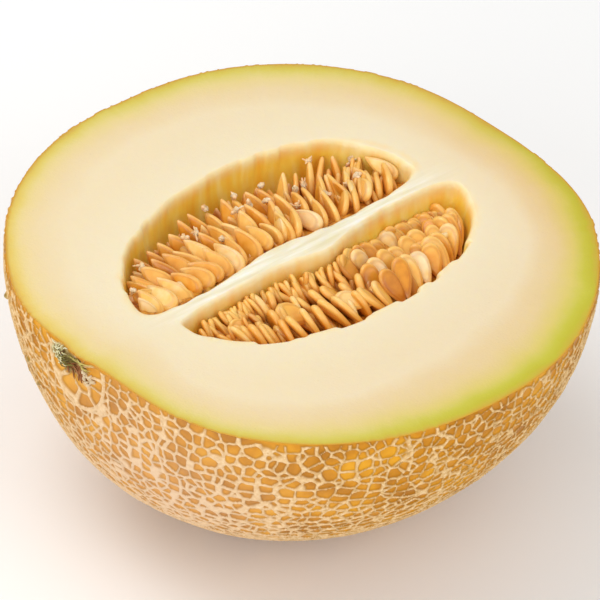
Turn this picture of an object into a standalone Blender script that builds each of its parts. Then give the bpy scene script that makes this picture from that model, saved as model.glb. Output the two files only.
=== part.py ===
"""Half of a netted melon, cut lengthwise and lying on its rind with the cut face up.

Metres, +Z up. The origin is the middle of the small flat spot that it rests on, +X runs along
the melon from its stem end to its blossom end, and the cut face is level.
"""

import math

import bmesh
import bpy
import numpy as np
from mathutils import Matrix, Vector

# The whole melon is a little longer than it is wide, and squarer than an ellipsoid. The knife
# passed just under its axis, and the fruit's own weight flattens the spot that it lies on.
HALF_LENGTH = 0.0780
HALF_WIDTH = 0.0766
HALF_DEPTH = 0.0775
SQUARENESS = 2.15
FOOT_TRIM = 0.0005
AXIS_HEIGHT = HALF_DEPTH - FOOT_TRIM
CUT_HEIGHT = AXIS_HEIGHT - 0.0010

# Swells and flats of the rind: (degrees round from +X, degrees below the axis, height, spread
# in degrees). The deep flat is the stem end, between the two shoulders.
SWELLS = (
    (187, 6, -0.0025, 14),
    (160, 0, 0.0014, 11),
    (216, 4, 0.0005, 14),
    (176, 38, 0.0009, 17),
    (236, 52, -0.0005, 16),
    (-50, 0, -0.0005, 14),
    (-22, 0, 0.0010, 11),
    (9, 0, -0.0011, 12),
    (88, 0, -0.0006, 12),
)

# The corky scar where the stem came off: a ring round a small pit, just under the cut.
SCAR_TURN = math.radians(179)
SCAR_DROP = math.radians(4.0)
SCAR_RADIUS = 0.0042
SCAR_RING = 0.0009
SCAR_RING_WIDTH = 0.0018
SCAR_PIT = 0.0014
SCAR_PIT_WIDTH = 0.0023

# The body's mesh: steps round the melon's long axis, and from end to end, closer at the stem.
BODY_STEPS_ROUND = 64
BODY_STEPS_ALONG = 26
STEM_CROWDING = 1.3

# The seed hollow is two pockets, one on each side of a pale wall along the melon's axis. Each
# mouth is a flattened D: `outer` bulges to the flesh and `inner` to the wall, both measured
# from a middle line. The wall is thicker halfway along, by `bulge`. `core` is the heap's depth
# at the wall and how much deeper it gets for each metre away from it.
POCKET_DEPTH = 0.0300
INNER_POWER = 4.0
POCKETS = {
    "seeds_back": {
        "side": 1,
        "middle_x": -0.0025,
        "middle_y": 0.0090,
        "slant": 0.060,
        "half_length": 0.0505,
        "outer": 0.0283,
        "outer_power": 2.0,
        "inner": 0.0064,
        "inner_slant": 0.025,
        "bulge": 0.0028,
        "bulge_at": -0.0080,
        "bulge_width": 0.0160,
        "core": (0.0026, 0.34),
    },
    "seeds_front": {
        "side": -1,
        "middle_x": 0.0025,
        "middle_y": -0.0060,
        "slant": 0.0,
        "half_length": 0.0485,
        "outer": 0.0253,
        "outer_power": 2.05,
        "inner": 0.0042,
        "inner_slant": 0.035,
        "bulge": 0.0033,
        "bulge_at": 0.0050,
        "bulge_width": 0.0110,
        "core": (0.0120, -0.25),
    },
}
POCKET_STEPS_ROUND = 48
POCKET_STEPS_DEEP = 17

# Seeds are flat teardrops whose round ends face the pale wall, in rows along the melon. A row
# is (distance from the wall, depth of the seeds' middles, rise of their tips in degrees, step
# along the row). `lean` turns the tips towards +X and `roll` turns the seeds about their own
# length, in degrees at four places along the pocket.
SEED_LENGTH = 0.0130
SEED_WIDTH = 0.0058
SEED_THICKNESS = 0.0024
SEED_TAPER = 0.45
SEED_SIDES = 8
SEED_RINGS = 3
SEED_LAYOUT = {
    "seeds_back": {
        "rows": (
            (0.0074, 0.0035, 4, 0.0041),
            (0.0148, 0.0054, 20, 0.0043),
            (0.0224, 0.0080, 38, 0.0046),
        ),
        "lean": ((-0.045, -14), (-0.010, 0), (0.020, 24), (0.045, 30)),
        "roll": ((-0.045, -42), (-0.010, -58), (0.020, -88), (0.045, -100)),
    },
    "seeds_front": {
        "rows": (
            (0.0062, 0.0090, -34, 0.0042),
            (0.0126, 0.0069, -34, 0.0041),
            (0.0190, 0.0050, -36, 0.0040),
        ),
        "lean": ((-0.045, 14), (0.005, 10), (0.030, 0), (0.045, -24)),
        "roll": ((-0.045, -60), (0.004, -52), (0.014, 24), (0.045, 34)),
    },
}
SEED_DRAWS = 41
SEED_SCATTER = 0.0006
SEED_SWING = 9

# A seed that would cross the flesh moves, step by step, towards a point further in: beside the
# middle line, a little nearer the pocket's middle and lower.
SEED_SHIFT = 0.0008
SEED_SHIFTS = 10
INWARD_SHARE = 0.93
INWARD_ASIDE = 0.0090
INWARD_DROP = 0.0015

# Meshes that touch keep this gap, and seeds stay this far from the flesh.
GAP = 0.0004
SEED_CLEARANCE = 0.0005
WELD = 0.00001

RIND_COLOUR = (0.68, 0.42, 0.11, 1)
FLESH_COLOUR = (0.87, 0.76, 0.50, 1)
SEED_COLOUR = (0.74, 0.38, 0.10, 1)
RIND_ROUGHNESS = 0.55
FLESH_ROUGHNESS = 0.30
SEED_ROUGHNESS = 0.35


def clear_scene():
    for item in list(bpy.data.objects):
        bpy.data.objects.remove(item, do_unlink=True)


def new_collection(name):
    collection = bpy.data.collections.new(name)
    bpy.context.scene.collection.children.link(collection)
    return collection


def new_material(name, colour, roughness):
    material = bpy.data.materials.new(name)
    material.use_nodes = True
    shader = material.node_tree.nodes["Principled BSDF"]
    shader.inputs["Base Color"].default_value = colour
    shader.inputs["Roughness"].default_value = roughness
    shader.inputs["Metallic"].default_value = 0.0
    return material


def object_from(bm, name, collection, materials):
    """Turns a bmesh into a named object in a collection, and frees it."""
    bm.normal_update()
    bmesh.ops.recalc_face_normals(bm, faces=bm.faces)
    mesh = bpy.data.meshes.new(name)
    bm.to_mesh(mesh)
    bm.free()
    for material in materials:
        mesh.materials.append(material)
    made = bpy.data.objects.new(name, mesh)
    collection.objects.link(made)
    return made


def cut_away(bm, point, outward):
    """Cuts the mesh by a plane, drops what lies outward of it and returns the new flat face."""
    everything = list(bm.verts) + list(bm.edges) + list(bm.faces)
    cut = bmesh.ops.bisect_plane(
        bm, geom=everything, plane_co=point, plane_no=outward, clear_outer=True, dist=WELD / 10
    )
    edges = [item for item in cut["geom_cut"] if isinstance(item, bmesh.types.BMEdge)]
    return bmesh.ops.contextual_create(bm, geom=edges)["faces"]


def way_at(turn, drop):
    """The unit direction that is turned round from +X and drops below the level, in radians."""
    return Vector(
        (math.cos(turn) * math.cos(drop), math.sin(turn) * math.cos(drop), -math.sin(drop))
    )


def body_reach(way):
    """How far the rind is from the melon's centre in a unit direction.

    A superellipsoid about X, plus a bell curve for each swell, plus the scar: a narrow bell
    curve all along a ring, less another in its middle.
    """
    across = math.hypot(way.y / HALF_WIDTH, way.z / HALF_DEPTH)
    reach = ((abs(way.x) / HALF_LENGTH) ** SQUARENESS + across**SQUARENESS) ** (-1 / SQUARENESS)
    for turn, drop, height, spread in SWELLS:
        off = way.angle(way_at(math.radians(turn), math.radians(drop)))
        reach += height * math.exp(-((off / math.radians(spread)) ** 2))
    from_scar = way.angle(way_at(SCAR_TURN, SCAR_DROP)) * HALF_LENGTH
    ring = SCAR_RING * math.exp(-(((from_scar - SCAR_RADIUS) / SCAR_RING_WIDTH) ** 2))
    return reach + ring - SCAR_PIT * math.exp(-((from_scar / SCAR_PIT_WIDTH) ** 2))


def make_body(collection, materials):
    """The flesh and rind in one: a shaped sphere whose poles are the melon's two ends."""
    bm = bmesh.new()
    half_step = math.pi / BODY_STEPS_ROUND
    ends_on_x = Matrix.Rotation(-math.pi / 2, 4, "Y") @ Matrix.Rotation(half_step, 4, "Z")
    bmesh.ops.create_uvsphere(
        bm, u_segments=BODY_STEPS_ROUND, v_segments=BODY_STEPS_ALONG, radius=1, matrix=ends_on_x
    )
    for vertex in bm.verts:
        from_stem = math.acos(max(-1, min(1, -vertex.co.x)))
        crowded = math.pi * (from_stem / math.pi) ** STEM_CROWDING
        round_axis = Vector((0, vertex.co.y, vertex.co.z))
        if round_axis.length > WELD:
            round_axis.normalize()
        way = Vector((-math.cos(crowded), 0, 0)) + round_axis * math.sin(crowded)
        way.normalize()
        vertex.co = way * body_reach(way) + Vector((0, 0, AXIS_HEIGHT))
    cut_away(bm, (0, 0, 0), (0, 0, -1))
    for face in cut_away(bm, (0, 0, CUT_HEIGHT), (0, 0, 1)):
        face.material_index = 1
    return object_from(bm, "melon", collection, materials)


def middle_line(pocket, x):
    return pocket["middle_y"] + pocket["slant"] * (x - pocket["middle_x"])


def inner_reach(pocket, x):
    """Distance from a pocket's middle line to the pale wall at x: less where the wall bulges."""
    bulge = pocket["bulge"] * np.exp(-(((x - pocket["bulge_at"]) / pocket["bulge_width"]) ** 2))
    return pocket["inner"] + pocket["inner_slant"] * x - bulge


def pocket_point(pocket, u, v, w, inset):
    """Carries a point of the unit ball to a pocket, whose walls are moved in by inset.

    u runs along the pocket, v away from the pale wall and w up. Each half of the D is a
    superellipse, and the pocket gets smaller with depth as the ball does.
    """
    power = pocket["outer_power"] if v > 0 else INNER_POWER
    size = (abs(u) ** power + abs(v) ** power) ** (1 / power)
    stretch = math.hypot(u, v) / size if size > 0 else 0.0
    x = pocket["middle_x"] + (pocket["half_length"] - inset) * u * stretch
    reach = pocket["outer"] if v > 0 else inner_reach(pocket, x)
    y = middle_line(pocket, x) + pocket["side"] * (reach - inset) * v * stretch
    return Vector((x, y, CUT_HEIGHT + (POCKET_DEPTH - inset) * w))


def pocket_fill(pocket, points, inset):
    """How far out in a pocket points are: 1 is on its wall moved in by inset, less is inside."""
    x, y, z = points.T
    v = pocket["side"] * (y - middle_line(pocket, x))
    power = np.where(v > 0, pocket["outer_power"], INNER_POWER)
    reach = np.where(v > 0, pocket["outer"], inner_reach(pocket, x)) - inset
    along = np.abs(x - pocket["middle_x"]) / (pocket["half_length"] - inset)
    size = (along**power + (np.abs(v) / reach) ** power) ** (2 / power)
    return size + ((z - CUT_HEIGHT) / (POCKET_DEPTH - inset)) ** 2


def make_ball(pocket, inset):
    """A pocket's shape as a bmesh, with a mirrored half above the cut."""
    bm = bmesh.new()
    bmesh.ops.create_uvsphere(
        bm, u_segments=POCKET_STEPS_ROUND, v_segments=POCKET_STEPS_DEEP, radius=1
    )
    for vertex in bm.verts:
        vertex.co = pocket_point(pocket, *vertex.co, inset)
    return bm


def cut_pocket(body, name, cutters, materials):
    """Hollows a pocket out of the body, with flesh-coloured walls."""
    bm = make_ball(POCKETS[name], 0.0)
    for face in bm.faces:
        face.material_index = 1
    cutter = object_from(bm, name + "_pocket", cutters, materials)
    cutter.hide_render = True
    cutter.display_type = "WIRE"
    modifier = body.modifiers.new(name + "_pocket", "BOOLEAN")
    modifier.operation = "DIFFERENCE"
    modifier.solver = "EXACT"
    modifier.object = cutter


def make_core(name, collection, material):
    """What the pocket holds under its top seeds: the pocket's shape, cut off by a slope."""
    pocket = POCKETS[name]
    depth, slope = pocket["core"]
    wall_y = middle_line(pocket, 0) - pocket["side"] * inner_reach(pocket, 0)
    bm = make_ball(pocket, GAP)
    cut_away(bm, (0, wall_y, CUT_HEIGHT - depth), (0, pocket["side"] * slope, 1))
    return object_from(bm, name, collection, [material])


def make_seed_mesh():
    """One seed's mesh about its middle, tip at +X.

    A flattened ball of few rings, spread until they have the full outline, whose width
    narrows towards the tip in proportion to x.
    """
    bm = bmesh.new()
    bmesh.ops.create_uvsphere(bm, u_segments=SEED_SIDES, v_segments=SEED_RINGS, radius=1)
    mesh = bpy.data.meshes.new("seed")
    spread = 1 / math.sin(math.pi / SEED_RINGS)
    for vertex in bm.verts:
        x, y, z = vertex.co
        half_width = SEED_WIDTH / 2 * (1 - SEED_TAPER * x)
        vertex.co = (SEED_LENGTH / 2 * spread * x, half_width * spread * y, SEED_THICKNESS / 2 * z)
    bm.to_mesh(mesh)
    bm.free()
    return mesh


def seed_places(name, seed_mesh, draws):
    """Where a pocket's seeds lie, as matrices.

    A seed that would cross the flesh is moved towards the pocket's middle, and one that still
    crosses it after a few moves is left out.
    """
    outline = [vertex.co.copy() for vertex in seed_mesh.vertices]
    pocket = POCKETS[name]
    layout = SEED_LAYOUT[name]
    side = pocket["side"]
    places = []
    for distance, depth, rise, step in layout["rows"]:
        count = int(2 * pocket["half_length"] / step)
        for number in range(count):
            scatter = draws.uniform(-SEED_SCATTER, SEED_SCATTER, 3)
            swing = draws.uniform(-SEED_SWING, SEED_SWING, 3)
            x = pocket["middle_x"] + (number - (count - 1) / 2) * step
            y = middle_line(pocket, x) - side * (inner_reach(pocket, x) - distance)
            lean = np.interp(x, *np.transpose(layout["lean"])) + swing[0]
            roll = np.interp(x, *np.transpose(layout["roll"])) + swing[1]
            turn = (
                Matrix.Rotation(side * math.radians(90 - lean), 4, "Z")
                @ Matrix.Rotation(-math.radians(rise + swing[2]), 4, "Y")
                @ Matrix.Rotation(math.radians(roll), 4, "X")
            )
            middle = Vector((x, y, CUT_HEIGHT - depth)) + Vector(scatter)
            inner_x = x * INWARD_SHARE
            inner_y = middle_line(pocket, x) + side * INWARD_ASIDE
            shift = Vector((inner_x - x, inner_y - y, -INWARD_DROP)).normalized() * SEED_SHIFT
            for _ in range(SEED_SHIFTS):
                place = Matrix.Translation(middle) @ turn
                points = np.array([place @ point for point in outline])
                if pocket_fill(pocket, points, SEED_CLEARANCE).max() < 1:
                    places.append(place)
                    break
                middle += shift
    return places


def fuse_seeds(core, places, seed_mesh):
    """Joins seeds to the core by one union, and leaves only the largest body of the result."""
    collection = new_collection("loose_seeds")
    for number, place in enumerate(places):
        seed = bpy.data.objects.new("seed_{:02d}".format(number), seed_mesh)
        seed.matrix_world = place
        collection.objects.link(seed)
    modifier = core.modifiers.new("seeds", "BOOLEAN")
    modifier.operation = "UNION"
    modifier.solver = "MANIFOLD"
    modifier.operand_type = "COLLECTION"
    modifier.collection = collection
    bpy.context.view_layer.update()
    graph = bpy.context.evaluated_depsgraph_get()
    bm = bmesh.new()
    bm.from_mesh(core.evaluated_get(graph).to_mesh())
    core.modifiers.clear()
    for seed in list(collection.objects):
        bpy.data.objects.remove(seed, do_unlink=True)
    bpy.data.collections.remove(collection)
    bmesh.ops.triangulate(bm, faces=bm.faces)
    keep_largest_body(bm)
    bm.to_mesh(core.data)
    bm.free()


def keep_largest_body(bm):
    """Deletes loose scraps and the walls of sealed hollows: all but the widest linked faces."""
    left = set(bm.faces)
    bodies = []
    while left:
        waiting = [left.pop()]
        body = []
        while waiting:
            face = waiting.pop()
            body.append(face)
            for edge in face.edges:
                linked = [other for other in edge.link_faces if other in left]
                left.difference_update(linked)
                waiting.extend(linked)
        bodies.append(body)
    bodies.sort(key=lambda body: sum(face.calc_area() for face in body))
    scraps = [face for body in bodies[:-1] for face in body]
    bmesh.ops.delete(bm, geom=scraps, context="FACES")


def main():
    clear_scene()
    melon = new_collection("melon_half")
    cutters = new_collection("cutters")
    rind = new_material("melon_rind", RIND_COLOUR, RIND_ROUGHNESS)
    flesh = new_material("melon_flesh", FLESH_COLOUR, FLESH_ROUGHNESS)
    seed_coat = new_material("seed_coat", SEED_COLOUR, SEED_ROUGHNESS)
    body = make_body(melon, [rind, flesh])
    seed_mesh = make_seed_mesh()
    draws = np.random.default_rng(SEED_DRAWS)
    for name in POCKETS:
        cut_pocket(body, name, cutters, [rind, flesh])
        core = make_core(name, melon, seed_coat)
        fuse_seeds(core, seed_places(name, seed_mesh, draws), seed_mesh)
    bpy.data.meshes.remove(seed_mesh)


main()
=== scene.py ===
"""Half of a netted melon, cut face up: its netted rind, moist flesh, seeds, light and camera.

Metres, +Z up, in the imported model's frame: the foot is the origin, and +X runs from the stem end
to the blossom end.
"""

import math

import bpy
import numpy as np
from mathutils import Matrix, Vector


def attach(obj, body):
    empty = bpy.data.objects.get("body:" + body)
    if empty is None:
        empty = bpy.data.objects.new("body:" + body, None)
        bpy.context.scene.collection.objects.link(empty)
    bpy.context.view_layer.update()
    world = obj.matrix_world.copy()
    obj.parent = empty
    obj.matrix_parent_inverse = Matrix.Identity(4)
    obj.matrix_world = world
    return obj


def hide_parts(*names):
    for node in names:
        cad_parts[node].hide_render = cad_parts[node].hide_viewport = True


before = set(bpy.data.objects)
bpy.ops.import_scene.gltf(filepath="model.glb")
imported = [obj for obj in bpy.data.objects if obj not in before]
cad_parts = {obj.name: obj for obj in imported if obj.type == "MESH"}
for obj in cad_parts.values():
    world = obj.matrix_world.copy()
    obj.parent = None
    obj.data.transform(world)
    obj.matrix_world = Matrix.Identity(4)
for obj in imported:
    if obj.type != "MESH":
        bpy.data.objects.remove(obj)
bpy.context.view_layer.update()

# The rind's form. The melon is a ball grown a little longer than wide, flat at the stem end
# between two shoulders. The knife passed just under its axis, and its weight flattens the foot.
HALF_LENGTH = 0.0780
HALF_WIDTH = 0.0766
HALF_DEPTH = 0.0775
SQUARENESS = 2.15
AXIS_HEIGHT = 0.0770
CUT_HEIGHT = 0.0760
# Swells and flats: turn and drop in degrees, height, and spread in degrees.
SWELLS = (
    (187, 6, -0.0025, 14),
    (160, 0, 0.0014, 11),
    (216, 4, 0.0005, 14),
    (176, 38, 0.0009, 17),
    (236, 52, -0.0005, 16),
    (-50, 0, -0.0005, 14),
    (-22, 0, 0.0010, 11),
    (9, 0, -0.0011, 12),
    (88, 0, -0.0006, 12),
)
SCAR_TURN = math.radians(179)
SCAR_DROP = math.radians(4.0)
SCAR_RADIUS = 0.0042
SCAR_RING = 0.0009
SCAR_RING_WIDTH = 0.0018
SCAR_PIT = 0.0014
SCAR_PIT_WIDTH = 0.0023
RIND_COLUMNS = 1280
RIND_ROWS = 324
RIND_HALVINGS = 5


def way_at(turn, drop):
    """Unit directions turned round from +X by turn and dropped below the level by drop."""
    level = np.cos(drop)
    return np.stack((np.cos(turn) * level, np.sin(turn) * level, -np.sin(drop)), axis=-1)


def angle_to(way, turn, drop):
    """The angle between directions and the one at turn and drop, from their dot product."""
    return np.arccos(np.clip(way @ way_at(turn, drop), -1, 1))


def bell(way, turn, drop, spread):
    """A bell curve over directions: 1 at turn and drop, 1/e at spread from there, in degrees."""
    off = angle_to(way, math.radians(turn), math.radians(drop))
    return np.exp(-((off / math.radians(spread)) ** 2))


def body_reach(way):
    """Distance from the melon's centre to its rind in unit directions.

    A superellipsoid about X, plus a bell curve for each swell, plus the scar: a narrow bell
    curve all along a ring, less another in its middle.
    """
    across = np.hypot(way[..., 1] / HALF_WIDTH, way[..., 2] / HALF_DEPTH)
    along = np.abs(way[..., 0]) / HALF_LENGTH
    reach = (along**SQUARENESS + across**SQUARENESS) ** (-1 / SQUARENESS)
    for turn, drop, height, spread in SWELLS:
        reach = reach + height * bell(way, turn, drop, spread)
    from_scar = angle_to(way, SCAR_TURN, SCAR_DROP) * HALF_LENGTH
    ring = SCAR_RING * np.exp(-(((from_scar - SCAR_RADIUS) / SCAR_RING_WIDTH) ** 2))
    return reach + ring - SCAR_PIT * np.exp(-((from_scar / SCAR_PIT_WIDTH) ** 2))


def rind_ways(columns, share):
    """Directions to one level row of the rind; share is 0 at the cut and 1 at the foot.

    The cut's own drop is where the rind is as far below the axis as the knife went.
    """
    turn = np.arange(columns) * 2 * np.pi / columns
    cut_drop = np.full(columns, 0.013)
    for _ in range(4):
        cut_drop = np.arcsin((AXIS_HEIGHT - CUT_HEIGHT) / body_reach(way_at(turn, cut_drop)))
    return way_at(turn, cut_drop + (np.pi / 2 - cut_drop) * share)


def row_faces(upper, lower, start_upper, start_lower):
    """Triangles between two closed rows, and the share of a full turn where each begins.

    Rows of one length share out quads; a row twice as long as the next gives three triangles
    to each of the shorter row's steps.
    """
    step = np.arange(lower)
    down, down_next = start_lower + step, start_lower + (step + 1) % lower
    if upper == lower:
        up, up_next = start_upper + step, start_upper + (step + 1) % upper
        made = ((up, down, down_next), (up, down_next, up_next))
    else:
        up, middle = start_upper + 2 * step, start_upper + 2 * step + 1
        up_next = start_upper + (2 * step + 2) % upper
        made = ((up, down, middle), (middle, down_next, up_next), (middle, down, down_next))
    faces = np.concatenate([np.stack(corners, 1) for corners in made])
    return faces, np.tile(step / lower, len(made))


def vertex_normals(points, faces):
    """Unit normals at points: the sum of the cross products of the triangles round each."""
    a, b, c = (points[faces[:, corner]] for corner in range(3))
    cross = np.cross(b - a, c - a)
    normals = np.zeros_like(points)
    for axis in range(3):
        for corner in range(3):
            normals[:, axis] += np.bincount(faces[:, corner], cross[:, axis], len(points))
    return normals / np.maximum(np.linalg.norm(normals, axis=1, keepdims=True), 1e-12)


# Rows of quads run down from the cut, and halve as they get shorter, to a fan at the foot.
row_shares = np.arange(RIND_ROWS) / RIND_ROWS
halvings = np.floor(np.log2(1 / np.cos(row_shares * np.pi / 2)) + 1e-9)
row_lengths = (RIND_COLUMNS / 2 ** np.clip(halvings, 0, RIND_HALVINGS)).astype(int)
row_starts = np.concatenate(([0], np.cumsum(row_lengths)))
rind_way = np.concatenate([rind_ways(n, share) for n, share in zip(row_lengths, row_shares)])
rind_way = np.concatenate((rind_way, [(0.0, 0.0, -1.0)]))
rind_smooth = rind_way * body_reach(rind_way)[:, None] + (0, 0, AXIS_HEIGHT)
rind_bands = [
    row_faces(row_lengths[row], row_lengths[row + 1], row_starts[row], row_starts[row + 1])
    for row in range(RIND_ROWS - 1)
]
last = np.arange(row_lengths[-1])
pole = np.full(len(last), row_starts[-1])
fan = np.stack((row_starts[-2] + last, pole, row_starts[-2] + (last + 1) % len(last)), 1)
rind_bands.append((fan, last / len(last)))
rind_faces = np.concatenate([band[0] for band in rind_bands])
rind_quarter = np.floor(np.concatenate([band[1] for band in rind_bands]) * 4).astype(int)
rind_out = vertex_normals(rind_smooth, rind_faces)

# The net is dry cork that healed over the cracks of the growing skin. It stands proud of the
# rind in lines of all widths round cells of 2 to 5 mm, with wider cells and an arc at the stem.
NET_HEIGHT = 0.00060
NET_CELL = 0.0032
NET_LINES = (0.00009, 0.00029)
NET_WEIGHT = 0.25
NET_CORNER = 0.00008
NET_BEND = 0.0010
NET_FRAY = 0.00040
NET_SHOULDER = 0.00026
# Where cells are wider, and where crowded: turn, drop, share and spread, the angles in degrees.
NET_CROWDING = ((220, 5, -0.14, 38), (225, 62, 0.08, 34))
# Where lines are thicker, and where they are paler: turn, drop and spread.
NET_THICKER = (212, 24, 26)
PALE_PATCH = (200, 24, 25)
NET_THICKER_BY = 0.00013
NET_UNEVEN = 0.00010
NET_LUMP = 0.0090
NET_BEND_SIZE = 0.0042
NET_FRAY_SIZE = 0.0014
SKIN_WAVE = 0.00018
SKIN_WAVE_SIZE = 0.0060
STEM_NET = 0.0110
STEM_NET_LONG = 1.25
STEM_NET_ROUND = 0.0060
STEM_NET_STRETCH = 2.7
STEM_NET_WAVE = 0.0016
STEM_CELL = 0.0036
STEM_LINES = (0.00012, 0.00038)
STEM_ARC = 0.00062
SKIN_STRIP = 0.0007
STRIP_FROM_SCAR = (0.004, 0.008)
# Cork warts beyond the stem scar, at turn and drop.
WARTS = ((149, 9.0), (162, 14.5), (165, 18.5), (158, 21.0))
WART_HEIGHT = 0.0009
WART_WIDTH = 0.0009
WART_GRAIN = 0.0007
LATTICE_DRAWS = 8191
LATTICE_STEPS = np.array((1619, 31337, 6971))
NEIGHBOURS = np.array([(x, y, z) for x in (-1, 0, 1) for y in (-1, 0, 1) for z in (-1, 0, 1)])


def lattice_draws(places, seed):
    """Three repeatable numbers from 0 to 1 for each whole-number place of a lattice."""
    draws = np.random.default_rng(seed).random((LATTICE_DRAWS, 3))
    return draws[(places @ LATTICE_STEPS) % LATTICE_DRAWS]


def soft_noise(points, size, seed):
    """Lumps about size metres across, in three channels from 0 to 1.

    The eight corners of a lattice cell hold random numbers, mixed by a smooth step on each axis.
    """
    spot = points / size
    home = np.floor(spot).astype(int)
    part = spot - home
    part = part * part * (3 - 2 * part)
    total = np.zeros(points.shape)
    for corner in NEIGHBOURS[(NEIGHBOURS >= 0).all(axis=1)]:
        weight = np.where(corner == 1, part, 1 - part).prod(axis=1)
        total += weight[:, None] * lattice_draws(home + corner, seed)
    return total


def crack_gap(points, size, lines, seed):
    """Distance in metres from points to the edge of the nearest cork line, negative on a line.

    Each lattice cell of the given size holds one seed of a cell and a weight, both at random.
    A cell is where its seed's squared distance less its weight is the least, so heavy seeds
    grow wide cells. Each wall between two cells has a line of its own half width, between the
    two in lines. A soft minimum over the walls rounds the cells' corners.
    """

    def seeds_at(there):
        seeds = there + 0.16 + 0.68 * lattice_draws(there, seed)
        return seeds, NET_WEIGHT * lattice_draws(there, seed + 100)[:, 0]

    spot = points / size
    home = np.floor(spot).astype(int)
    nearest = np.full(len(points), np.inf)
    best_home, best = home.copy(), spot.copy()
    for offset in NEIGHBOURS:
        there = home + offset
        seeds, weight = seeds_at(there)
        distance = ((seeds - spot) ** 2).sum(axis=1) - weight
        closer = distance < nearest
        nearest[closer] = distance[closer]
        best[closer], best_home[closer] = seeds[closer], there[closer]
    total = np.zeros(len(points))
    for offset in NEIGHBOURS[np.abs(NEIGHBOURS).sum(axis=1) > 0]:
        there = best_home + offset
        seeds, weight = seeds_at(there)
        apart = np.sqrt(((seeds - best) ** 2).sum(axis=1))
        wall = (((seeds - spot) ** 2).sum(axis=1) - weight - nearest) / (2 * apart) * size
        draw = lattice_draws(there + best_home, seed + 200)[:, 0]
        width = lines[0] + (lines[1] - lines[0]) * draw
        total += np.exp(np.minimum((width - wall) / NET_CORNER, 60))
    return -NET_CORNER * np.log(total)


def smooth_step(value, low, high):
    """0 below low, 1 above high, and an S curve between them."""
    share = np.clip((value - low) / (high - low), 0, 1)
    return share * share * (3 - 2 * share)


scar_way = way_at(SCAR_TURN, SCAR_DROP)
scar_down = np.cross(scar_way, (math.sin(SCAR_TURN), -math.cos(SCAR_TURN), 0))
scar_down = scar_down / np.linalg.norm(scar_down)
scar_aside = np.cross(scar_way, scar_down)
from_scar = angle_to(rind_way, SCAR_TURN, SCAR_DROP) * HALF_LENGTH
scar_clock = np.arctan2(rind_way @ scar_aside, rind_way @ scar_down)
lumps = soft_noise(rind_smooth, NET_LUMP, 11)
bent = rind_smooth + NET_BEND * (soft_noise(rind_smooth, NET_BEND_SIZE, 12) - 0.5)
bent += NET_FRAY * (soft_noise(rind_smooth, NET_FRAY_SIZE, 14) - 0.5)
crowding = np.ones(len(rind_way))
for turn, drop, more, spread in NET_CROWDING:
    crowding += more * bell(rind_way, turn, drop, spread)
bent = (bent - (0, 0, AXIS_HEIGHT)) * crowding[:, None]
thicker = NET_THICKER_BY * bell(rind_way, *NET_THICKER) + NET_UNEVEN * (lumps[:, 0] - 0.5)
net_gap = crack_gap(bent, NET_CELL, NET_LINES, 13) - thicker
round_scar = np.stack(
    (
        STEM_NET_ROUND * np.cos(scar_clock),
        STEM_NET_ROUND * np.sin(scar_clock),
        from_scar / STEM_NET_STRETCH,
    ),
    axis=1,
)
stem_gap = crack_gap(round_scar, STEM_CELL, STEM_LINES, 16)
stem_edge = STEM_NET + STEM_NET_WAVE * (lumps[:, 1] - 0.5)
stem_oval = from_scar * np.hypot(np.sin(scar_clock) / 0.9, np.cos(scar_clock) / STEM_NET_LONG)
net_gap = np.where(stem_oval < stem_edge, stem_gap, net_gap)
net_gap = np.minimum(net_gap, np.abs(stem_oval - stem_edge) - STEM_ARC)
# Bare skin shows in places in a strip under the cut.
below_cut = CUT_HEIGHT - rind_smooth[:, 2]
strip = SKIN_STRIP * smooth_step(lumps[:, 2], 0.35, 0.75)
net_gap = np.maximum(net_gap, (strip - below_cut) * smooth_step(from_scar, *STRIP_FROM_SCAR))
net_share = smooth_step(-net_gap, -NET_SHOULDER / 2, NET_SHOULDER / 2)
relief = NET_HEIGHT * net_share * (0.75 + 0.5 * lumps[:, 1])
relief += SKIN_WAVE * (soft_noise(rind_smooth, SKIN_WAVE_SIZE, 17)[:, 0] - 0.5)
wart_share = np.zeros(len(rind_way))
for turn, drop in WARTS:
    off = angle_to(rind_way, math.radians(turn), math.radians(drop)) * HALF_LENGTH
    wart_share += np.exp(-((off / WART_WIDTH) ** 4))
relief += WART_HEIGHT * wart_share * (0.7 + 0.6 * soft_noise(rind_smooth, WART_GRAIN, 18)[:, 0])
rind_points = rind_smooth + rind_out * relief[:, None]
rind_points[:, 2] = np.maximum(rind_points[:, 2], 0)
rind_points[:RIND_COLUMNS, 2] = CUT_HEIGHT
rind_shading = vertex_normals(rind_points, rind_faces)


def new_piece(name, points, faces, numbers, material):
    """A smooth mesh object from arrays of points and faces of one size, with its attributes."""
    mesh = bpy.data.meshes.new(name)
    faces = np.asarray(faces, np.int32)
    mesh.vertices.add(len(points))
    mesh.vertices.foreach_set("co", np.asarray(points, np.float32).ravel())
    mesh.loops.add(faces.size)
    mesh.loops.foreach_set("vertex_index", faces.ravel())
    mesh.polygons.add(len(faces))
    mesh.polygons.foreach_set("loop_start", np.arange(0, faces.size, faces.shape[1]))
    mesh.polygons.foreach_set("use_smooth", np.ones(len(faces), bool))
    mesh.update(calc_edges=True)
    for label, values in numbers.items():
        layer = mesh.attributes.new(label, "FLOAT", "POINT")
        layer.data.foreach_set("value", np.asarray(values, np.float32).ravel())
    mesh.materials.append(material)
    piece = bpy.data.objects.new(name, mesh)
    bpy.context.scene.collection.objects.link(piece)
    return piece


def linear(code):
    """Linear red, green, blue and alpha from an sRGB hex code, by the sRGB curve."""
    shares = np.array([int(code[place : place + 2], 16) for place in (1, 3, 5)]) / 255
    curve = np.where(shares > 0.04045, ((shares + 0.055) / 1.055) ** 2.4, shares / 12.92)
    return (*curve.tolist(), 1.0)


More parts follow.
